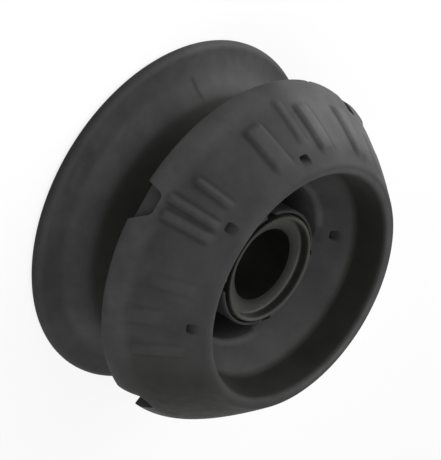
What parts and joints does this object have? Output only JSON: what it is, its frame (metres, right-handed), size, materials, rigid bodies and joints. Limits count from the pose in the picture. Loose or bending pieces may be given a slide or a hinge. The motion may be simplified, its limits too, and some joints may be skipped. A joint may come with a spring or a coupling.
{
  "type": "strut mount",
  "caption": "Round rubber strut top mount with a flange, a panel groove, a ribbed head and a bonded steel sleeve in a conical recess.",
  "frame": {"origin": "on the mount's axis, in the plane of the flange's back face", "axes": "+Z along the mount's axis, from the flange to the head and its recess; +X and +Y across, with the webs between the two voids near +Y and -Y"},
  "size_m": [0.11, 0.11, 0.0562],
  "materials": {
    "rubber": "matte moulded black rubber with a faint mould-release bloom",
    "sleeve_steel": "turned steel with a dark phosphate coat",
    "ring_steel": "pressed steel with a dark bonding coat"
  },
  "bodies": {
    "root": {"rubber_body": "rubber", "inner_sleeve": "sleeve_steel", "head_ring": "ring_steel"}
  },
  "joints": []
}
